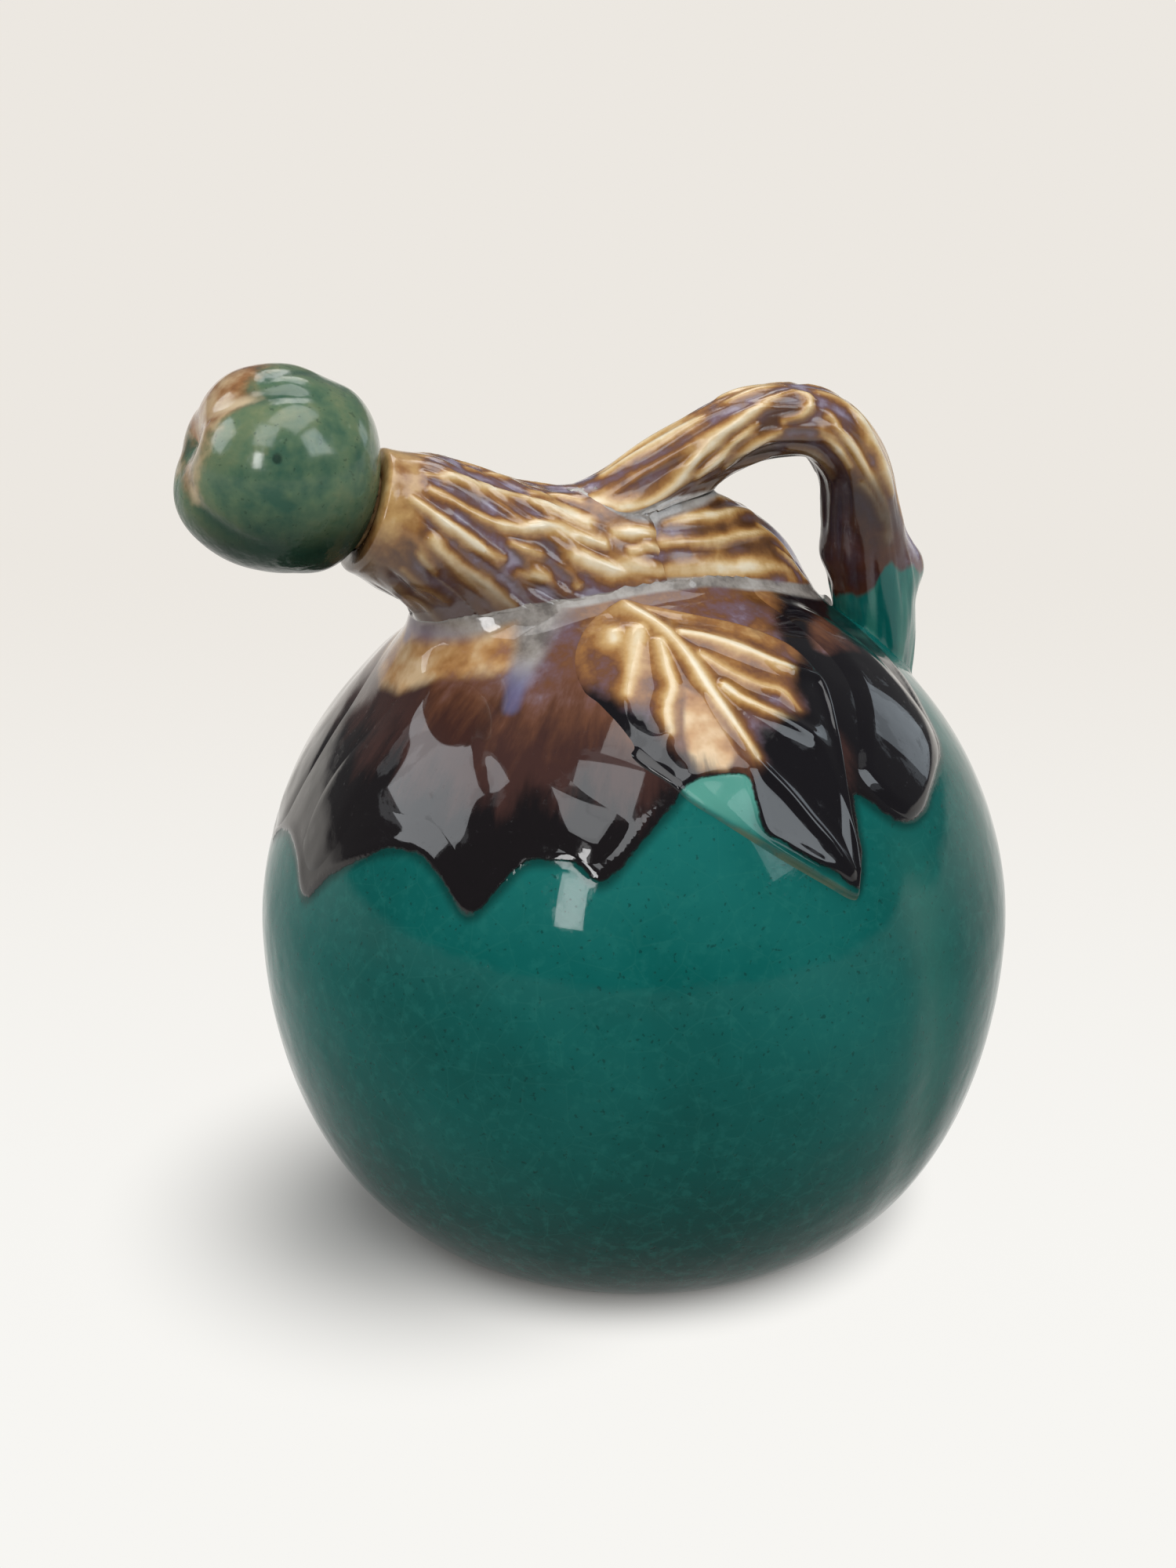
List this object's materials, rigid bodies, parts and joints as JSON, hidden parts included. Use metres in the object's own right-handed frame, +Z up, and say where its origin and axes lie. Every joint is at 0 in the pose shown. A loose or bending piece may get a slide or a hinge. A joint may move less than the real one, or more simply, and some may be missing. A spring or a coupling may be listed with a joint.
{
  "type": "stoppered earthenware jug",
  "caption": "Round fruit-shaped glazed jug with a branch spout, looped branch handle, relief leaves on the shoulder and a small fruit stopper on a cork.",
  "frame": {"origin": "middle of the flat foot, on the vessel's axis, on the surface the jug stands on", "axes": "+Z up along the vessel's axis, the spout towards -X, the handle towards +X"},
  "size_m": [0.1943, 0.18, 0.212],
  "materials": {
    "green_glaze": "glossy green glaze over cast earthenware",
    "bark_glaze": "glossy honey and brown glaze pooled in bark grooves",
    "leaf_glaze": "glossy dark brown glaze, honey where thin",
    "sage_glaze": "glossy mottled sage glaze",
    "cork": "plain cork"
  },
  "bodies": {
    "jug": {"gourd_body": "green_glaze", "spout_branch": "bark_glaze", "branch_stump": "bark_glaze", "handle_branch": "bark_glaze", "front_leaf": "leaf_glaze", "front_spout_leaf": "leaf_glaze", "front_handle_leaf": "leaf_glaze", "back_leaf": "leaf_glaze", "back_spout_leaf": "leaf_glaze", "back_handle_leaf": "leaf_glaze"},
    "stopper": {"stopper_fruit": "sage_glaze", "stopper_cork": "cork"}
  },
  "joints": [
    {"name": "stopper_pull", "type": "slide", "parent": "jug", "child": "stopper", "axis": [-0.9245, 0, 0.3811], "range_m": [0, 0.06]}
  ]
}
